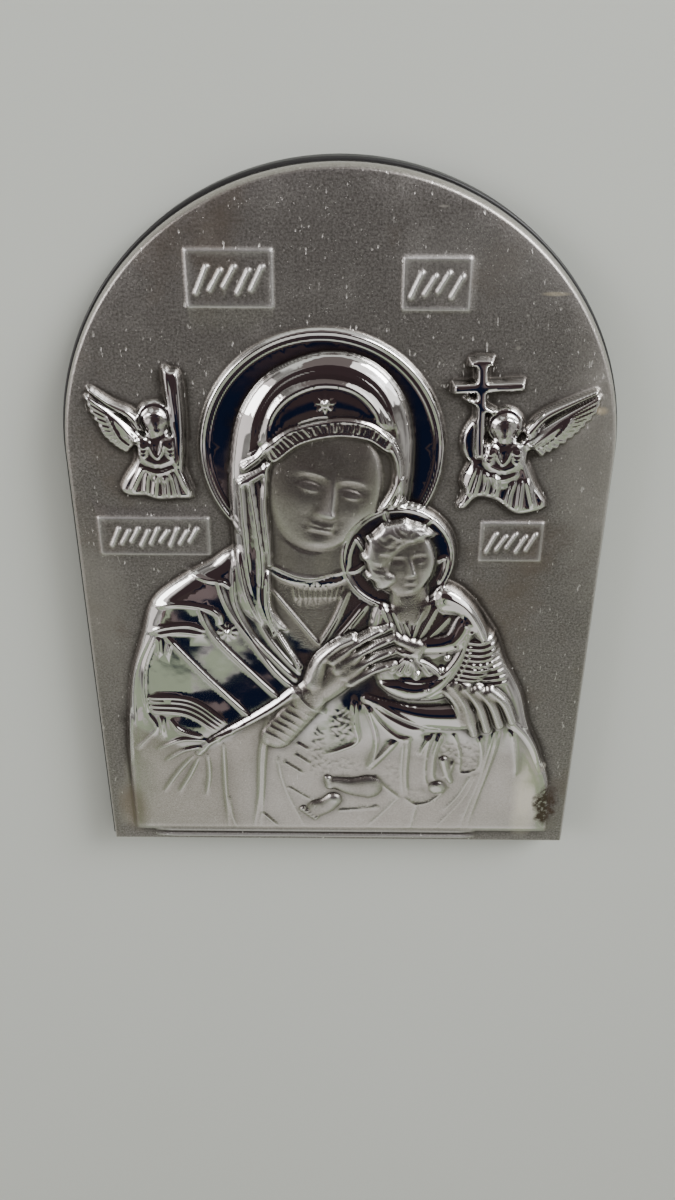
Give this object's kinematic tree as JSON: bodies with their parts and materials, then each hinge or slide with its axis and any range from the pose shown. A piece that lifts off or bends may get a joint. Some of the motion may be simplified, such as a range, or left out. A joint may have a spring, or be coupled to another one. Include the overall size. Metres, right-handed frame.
{
  "type": "icon panel",
  "caption": "Arched icon panel: an embossed silver-plated relief sheet with a rounded edge, stuck on a thin black backing board.",
  "frame": {"origin": "middle of the backing board's underside, which the panel lies on", "axes": "+X to the right of the picture, +Y towards the top of the arch, +Z out of the picture"},
  "size_m": [0.1, 0.14, 0.0111],
  "materials": {
    "silver_relief": "silver plate, matte on the field, polished on the figures, lightly tarnished",
    "black_board": "black paint, satin"
  },
  "bodies": {
    "root": {"relief_sheet": "silver_relief", "backing_board": "black_board"}
  },
  "joints": []
}
